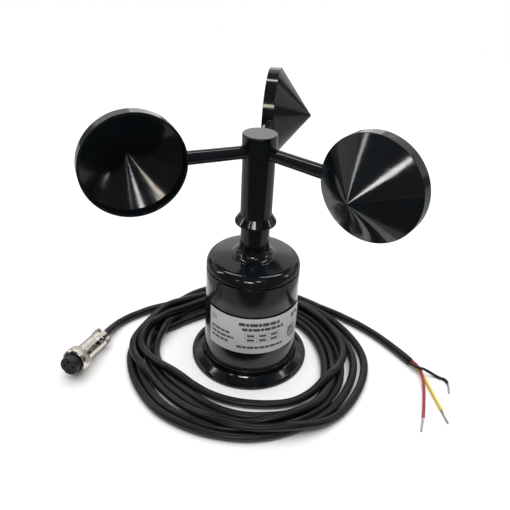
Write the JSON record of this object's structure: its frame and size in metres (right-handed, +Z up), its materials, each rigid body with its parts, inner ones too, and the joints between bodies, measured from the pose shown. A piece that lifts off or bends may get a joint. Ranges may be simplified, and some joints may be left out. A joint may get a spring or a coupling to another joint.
{
  "type": "cup anemometer",
  "caption": "Cup anemometer: conical cups on a freely turning hub above a domed cylindrical sensor housing on a round flange, with a loose coiled extension cable.",
  "frame": {"origin": "centre of the flange's underside, on the rotor's axis", "axes": "+Z up along the rotor's axis; -Y towards the label at the front; the panel socket faces +Y"},
  "size_m": [0.2579, 0.1895, 0.1799],
  "materials": {
    "black_plastic": "glossy moulded black",
    "matt_black_plastic": "matt moulded black",
    "rubber_seal": "matt black rubber",
    "cable_jacket": "satin black cable jacket",
    "black_wire": "satin black insulation",
    "red_wire": "satin red insulation",
    "yellow_wire": "satin yellow insulation",
    "steel": "bright steel",
    "brass": "plain brass",
    "nickel_plate": "satin nickel plate",
    "label_film": "silver grey printed film",
    "circuit_board": "green solder mask"
  },
  "bodies": {
    "sensor_body": {"base_flange": "black_plastic", "base_seal": "rubber_seal", "housing": "black_plastic", "label": "label_film", "cap_seal": "rubber_seal", "top_cap": "black_plastic", "neck_collar": "black_plastic", "neck_tube": "black_plastic", "lower_bearing_outer": "steel", "upper_bearing_outer": "steel", "circuit_board": "circuit_board", "hall_sensor": "matt_black_plastic", "board_pillar_1": "brass", "board_pillar_2": "brass", "board_pillar_3": "brass", "board_screw_1": "steel", "board_screw_2": "steel", "board_screw_3": "steel", "base_screw_1": "steel", "base_screw_2": "steel", "base_screw_3": "steel", "panel_socket": "nickel_plate", "socket_insert": "matt_black_plastic", "socket_nut": "nickel_plate", "socket_harness": "cable_jacket", "plug_insert": "matt_black_plastic", "plug_shell": "nickel_plate", "plug_clamp": "nickel_plate", "clamp_screw_1": "nickel_plate", "clamp_screw_2": "nickel_plate", "cable_coil": "cable_jacket", "cable_lead_plug": "cable_jacket", "cable_lead_tail": "cable_jacket", "wire_black": "black_wire", "wire_red": "red_wire", "wire_yellow": "yellow_wire"},
    "rotor": {"hub_sleeve": "black_plastic", "hub_cap": "black_plastic", "rain_skirt": "black_plastic", "arm_1": "black_plastic", "arm_pin_1": "steel", "cup_1": "black_plastic", "arm_2": "black_plastic", "arm_pin_2": "steel", "cup_2": "black_plastic", "arm_3": "black_plastic", "arm_pin_3": "steel", "cup_3": "black_plastic", "rotor_shaft": "steel", "bearing_spacer": "steel", "shaft_circlip": "steel", "magnet_carrier": "matt_black_plastic", "encoder_magnet": "steel", "hub_nut": "steel", "lower_bearing_inner": "steel", "upper_bearing_inner": "steel"},
    "coupling_nut": {"plug_nut": "nickel_plate"},
    "upper_cage": {"upper_bearing_balls": "steel"},
    "lower_cage": {"lower_bearing_balls": "steel"}
  },
  "joints": [
    {"name": "rotor_spin", "type": "hinge", "parent": "sensor_body", "child": "rotor", "pos_m": [0, 0, 0.15], "axis": [0, 0, 1], "continuous": true},
    {"name": "coupling_nut_turn", "type": "hinge", "parent": "sensor_body", "child": "coupling_nut", "pos_m": [-0.11219, -0.02887, 0.01026], "axis": [-0.2995, -0.9441, 0.1374], "continuous": true},
    {"name": "upper_cage_turn", "type": "hinge", "parent": "sensor_body", "child": "upper_cage", "pos_m": [0, 0, 0.1385], "axis": [0, 0, 1], "continuous": true},
    {"name": "lower_cage_turn", "type": "hinge", "parent": "sensor_body", "child": "lower_cage", "pos_m": [0, 0, 0.064], "axis": [0, 0, 1], "continuous": true}
  ],
  "couplings": [
    {"joint": "upper_cage_turn", "follows": "rotor_spin", "ratio": 0.439},
    {"joint": "lower_cage_turn", "follows": "rotor_spin", "ratio": 0.439}
  ]
}
